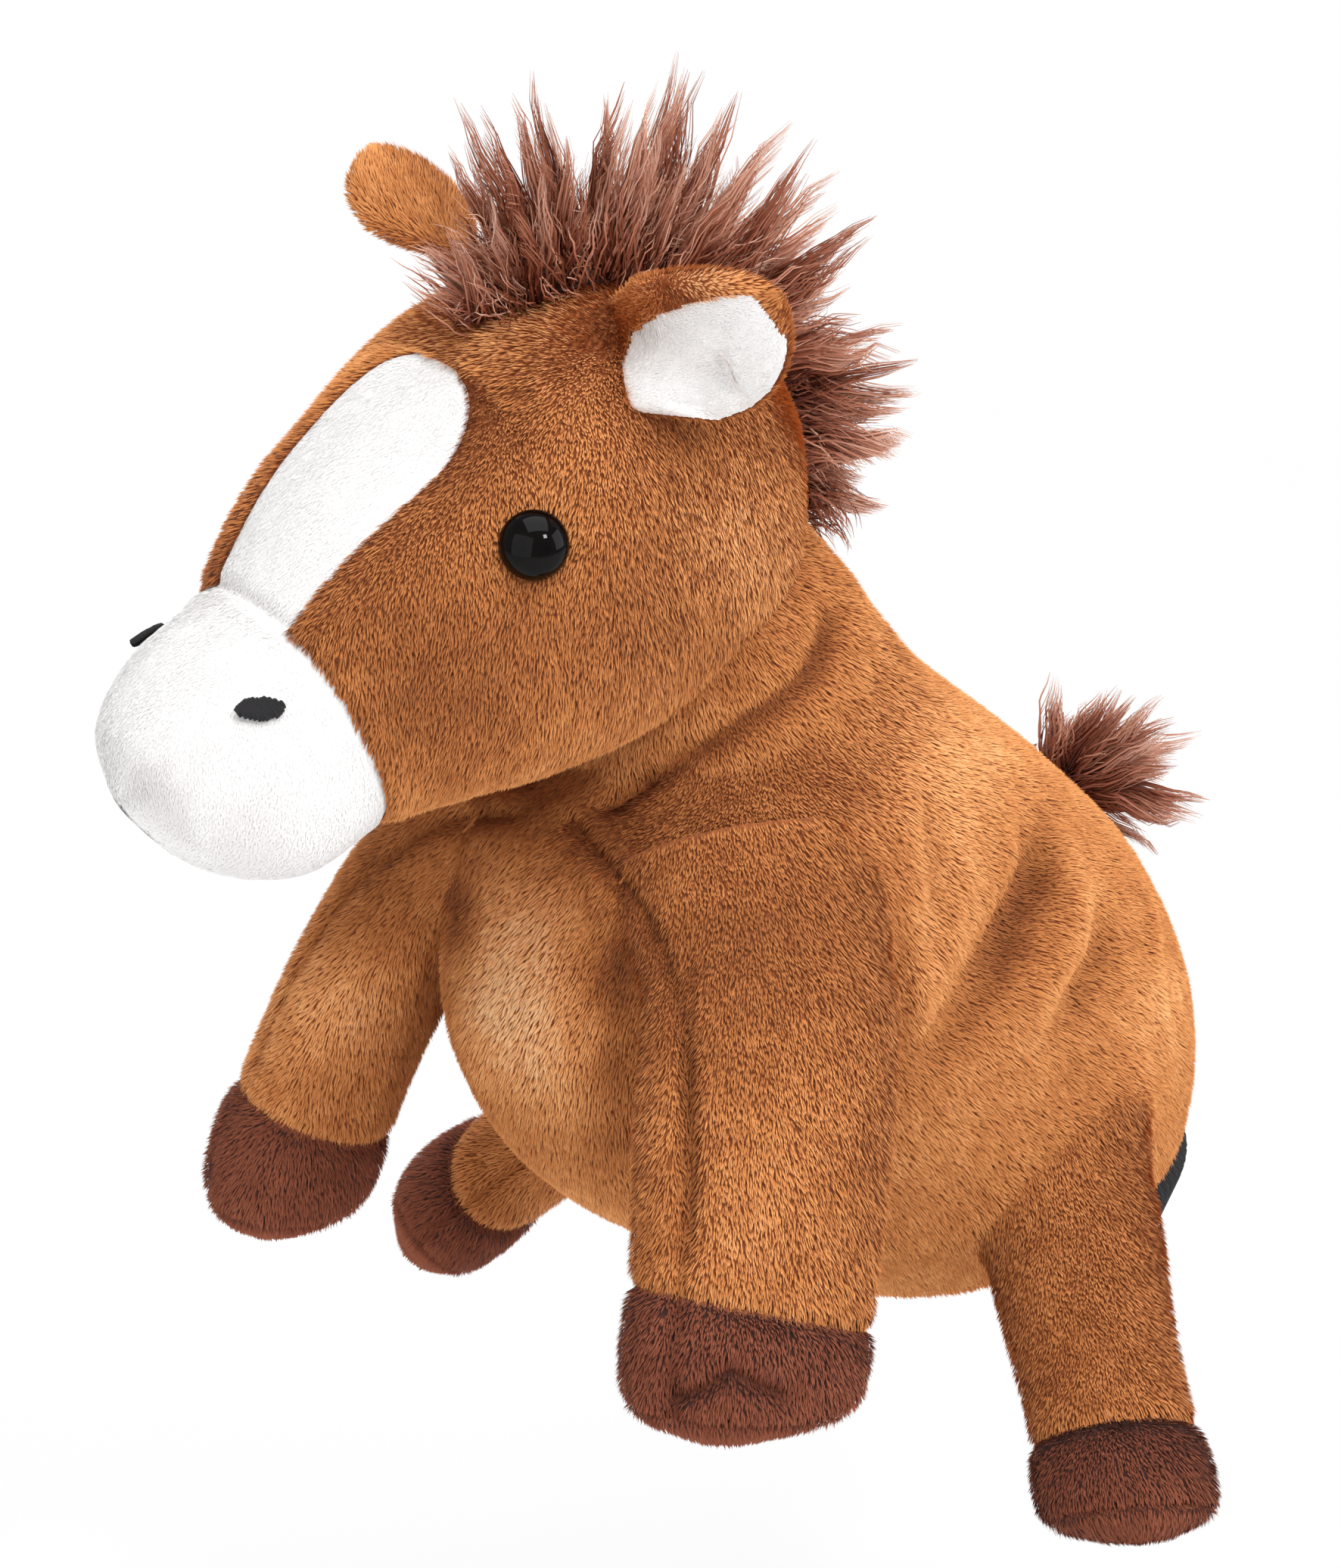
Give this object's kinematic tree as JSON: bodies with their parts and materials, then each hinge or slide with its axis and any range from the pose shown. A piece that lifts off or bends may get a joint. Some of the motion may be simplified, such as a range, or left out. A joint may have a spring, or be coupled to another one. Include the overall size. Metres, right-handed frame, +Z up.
{
  "type": "horse hand puppet",
  "caption": "Plush horse glove puppet with a lined hand cavity, a stuffed head that turns and nods, finger forelegs, stuffed hind legs, mane and tail.",
  "frame": {"origin": "centre of the hand opening at the wrist, below the rump", "axes": "+Z up along the wearer's forearm, the horse faces -Y, and its left side is +X"},
  "size_m": [0.2111, 0.2556, 0.2779],
  "materials": {
    "brown_plush": "short-pile caramel brown plush",
    "hoof_plush": "short-pile dark brown plush",
    "long_pile": "long-pile dark brown fur fabric in clumped strands",
    "white_plush": "short-pile white plush",
    "black_lining": "smooth black woven lining",
    "wrist_knit": "black knitted band",
    "embroidery": "black satin stitch",
    "eye_gloss": "polished black",
    "washer_plastic": "natural moulded",
    "fibre_filling": "loose polyester fibre"
  },
  "bodies": {
    "torso": {"chest_belly_panel": "brown_plush", "body_side_left": "brown_plush", "body_side_right": "brown_plush", "glove_lining": "black_lining", "wrist_band": "wrist_knit"},
    "neck": {"neck_collar": "brown_plush"},
    "head": {"head_side_left": "brown_plush", "head_side_right": "brown_plush", "muzzle": "white_plush", "blaze": "white_plush", "nostril_left": "embroidery", "nostril_right": "embroidery", "eye_left": "eye_gloss", "eye_right": "eye_gloss", "eye_washer_left": "washer_plastic", "eye_washer_right": "washer_plastic", "mane": "long_pile", "head_filling": "fibre_filling", "head_finger_stall": "black_lining"},
    "ear_left": {"ear_back_left": "brown_plush", "ear_lining_left": "white_plush"},
    "ear_right": {"ear_back_right": "brown_plush", "ear_lining_right": "white_plush"},
    "foreleg_left": {"foreleg_outer_left": "brown_plush", "foreleg_inner_left": "brown_plush", "foreleg_hoof_left": "hoof_plush", "foreleg_sole_left": "hoof_plush", "foreleg_filling_left": "fibre_filling", "foreleg_finger_stall_left": "black_lining"},
    "foreleg_right": {"foreleg_outer_right": "brown_plush", "foreleg_inner_right": "brown_plush", "foreleg_hoof_right": "hoof_plush", "foreleg_sole_right": "hoof_plush", "foreleg_filling_right": "fibre_filling", "foreleg_finger_stall_right": "black_lining"},
    "hindleg_left": {"hindleg_outer_left": "brown_plush", "hindleg_inner_left": "brown_plush", "hindleg_hoof_left": "hoof_plush", "hindleg_sole_left": "hoof_plush", "hindleg_filling_left": "fibre_filling"},
    "hindleg_right": {"hindleg_outer_right": "brown_plush", "hindleg_inner_right": "brown_plush", "hindleg_hoof_right": "hoof_plush", "hindleg_sole_right": "hoof_plush", "hindleg_filling_right": "fibre_filling"},
    "tail": {"tail_root": "long_pile", "tail_tuft": "long_pile"}
  },
  "joints": [
    {"name": "neck_turn", "type": "hinge", "parent": "torso", "child": "neck", "pos_m": [0, -0.07807, 0.14693], "axis": [0, -0.361, 0.9326], "range_deg": [-16, 42], "stiffness_Nm_per_rad": 0.3},
    {"name": "head_nod", "type": "hinge", "parent": "neck", "child": "head", "pos_m": [0, -0.07807, 0.14693], "axis": [0.9744, -0.225, 0], "range_deg": [-15, 10], "stiffness_Nm_per_rad": 0.8},
    {"name": "ear_left_fold", "type": "hinge", "parent": "head", "child": "ear_left", "pos_m": [0.02219, -0.10397, 0.21098], "axis": [-0.2212, -0.6464, 0.7302], "range_deg": [-20, 20], "stiffness_Nm_per_rad": 0.02},
    {"name": "ear_right_fold", "type": "hinge", "parent": "head", "child": "ear_right", "pos_m": [-0.0313, -0.09162, 0.21098], "axis": [-0.2984, 0.6147, -0.7302], "range_deg": [-20, 20], "stiffness_Nm_per_rad": 0.02},
    {"name": "tail_wag", "type": "hinge", "parent": "torso", "child": "tail", "pos_m": [0, 0.03123, 0.08753], "axis": [0, -0.4389, 0.8986], "range_deg": [-25, 25], "stiffness_Nm_per_rad": 0.02},
    {"name": "foreleg_left_swing", "type": "hinge", "parent": "torso", "child": "foreleg_left", "pos_m": [0.04347, -0.0949, 0.10729], "axis": [1, 0, 0], "range_deg": [-28, 20], "stiffness_Nm_per_rad": 0.15},
    {"name": "foreleg_right_swing", "type": "hinge", "parent": "torso", "child": "foreleg_right", "pos_m": [-0.04347, -0.0949, 0.10729], "axis": [1, 0, 0], "range_deg": [-28, 20], "stiffness_Nm_per_rad": 0.15},
    {"name": "hindleg_left_swing", "type": "hinge", "parent": "torso", "child": "hindleg_left", "pos_m": [0.04892, -0.022, 0.03086], "axis": [1, 0, 0], "range_deg": [-40, 10], "stiffness_Nm_per_rad": 0.15},
    {"name": "hindleg_right_swing", "type": "hinge", "parent": "torso", "child": "hindleg_right", "pos_m": [-0.04892, -0.022, 0.03086], "axis": [1, 0, 0], "range_deg": [-26, 24], "stiffness_Nm_per_rad": 0.15}
  ]
}
